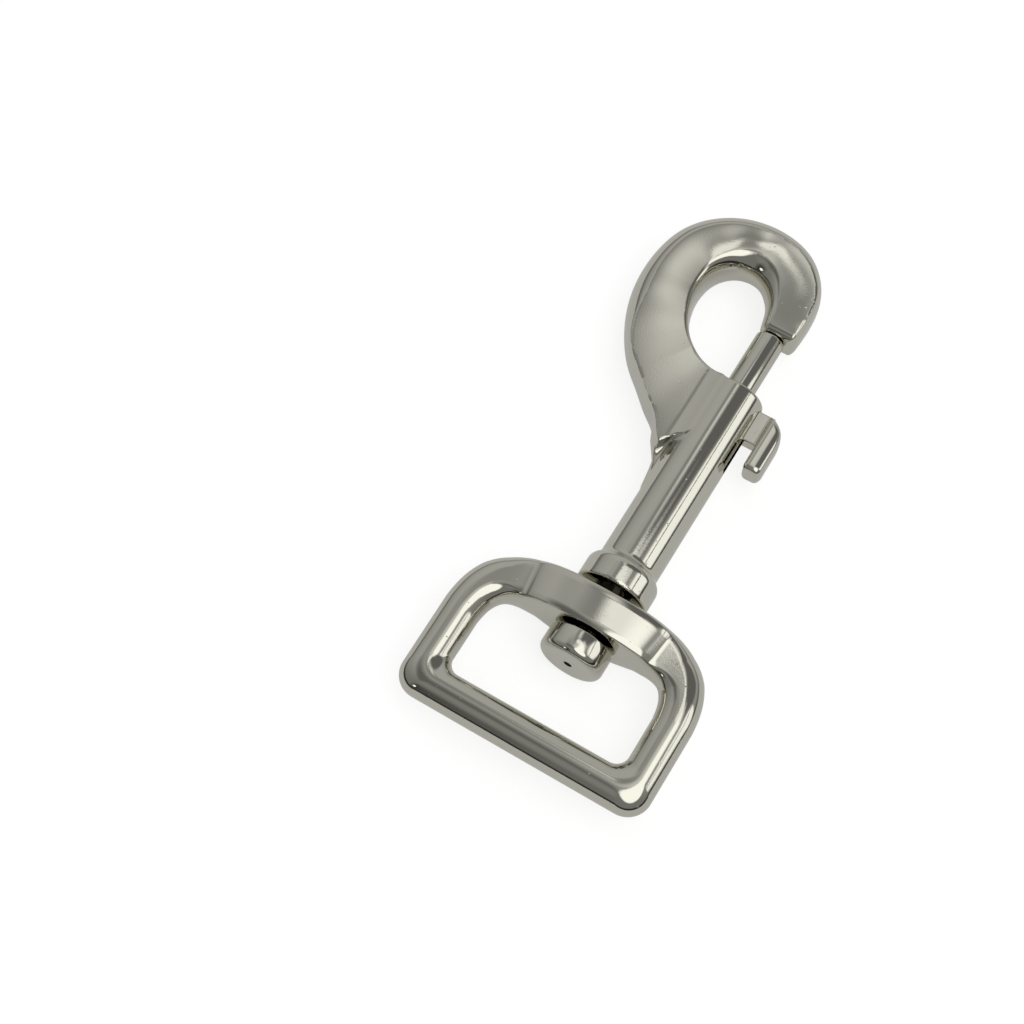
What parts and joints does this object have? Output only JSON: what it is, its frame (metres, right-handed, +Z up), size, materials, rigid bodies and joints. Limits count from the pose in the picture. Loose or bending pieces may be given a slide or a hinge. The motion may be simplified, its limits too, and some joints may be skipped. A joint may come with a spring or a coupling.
{
  "type": "swivel snap hook",
  "caption": "Swivel snap hook: a cast hook closed by a sliding spring bolt with a thumb tab, turning on a stud in a strap loop for 25 mm webbing.",
  "frame": {"origin": "middle of the strap bar, on the swivel axis", "axes": "+Y along the swivel axis from the strap bar to the crown, +X towards the thumb tab, +Z up as the hook lies flat"},
  "size_m": [0.0376, 0.0822, 0.01],
  "materials": {
    "nickel_body": "polished nickel plate on a zinc casting",
    "nickel_bolt": "polished nickel plate",
    "nickel_tab": "polished nickel plate",
    "spring_steel": "bright drawn wire",
    "nickel_stud": "polished nickel plate",
    "nickel_loop": "polished nickel plate on a zinc casting"
  },
  "bodies": {
    "hook": {"hook_body": "nickel_body", "swivel_stud": "nickel_stud", "spring": "spring_steel"},
    "bolt": {"bolt": "nickel_bolt", "thumb_tab": "nickel_tab"},
    "loop": {"strap_loop": "nickel_loop"}
  },
  "joints": [
    {"name": "bolt_slide", "type": "slide", "parent": "hook", "child": "bolt", "axis": [0, -1, 0], "range_m": [0, 0.0052], "stiffness_N_per_m": 400, "springref_m": -0.004, "deforming": ["spring"]},
    {"name": "loop_swivel", "type": "hinge", "parent": "hook", "child": "loop", "pos_m": [0, 0.0181, 0], "axis": [0, 1, 0], "continuous": true}
  ]
}
